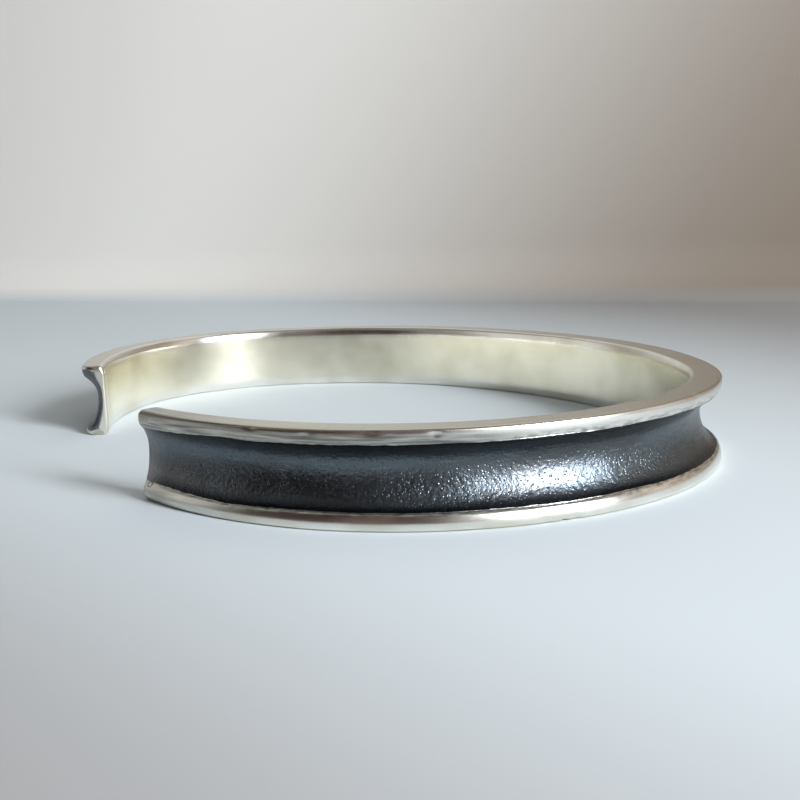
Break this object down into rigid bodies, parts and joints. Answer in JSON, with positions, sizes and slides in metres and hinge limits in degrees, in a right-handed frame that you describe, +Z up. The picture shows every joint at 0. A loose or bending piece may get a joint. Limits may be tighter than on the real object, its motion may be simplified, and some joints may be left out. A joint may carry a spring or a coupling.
{
  "type": "open cuff bangle",
  "caption": "Open oval cuff bangle, a solid silver strip with a hollowed, oxidised channel between two polished rims.",
  "frame": {"origin": "middle of the footprint, on the surface that the bangle lies on", "axes": "+Z up, across the strip's width; +X along the oval's length; the opening between the ends faces -Y"},
  "size_m": [0.0686, 0.0494, 0.0065],
  "materials": {
    "silver": "hand-polished silver, satin inside; the hollowed outer channel is oxidised blue-grey to black"
  },
  "bodies": {
    "root": {"cuff_band": "silver"}
  },
  "joints": []
}
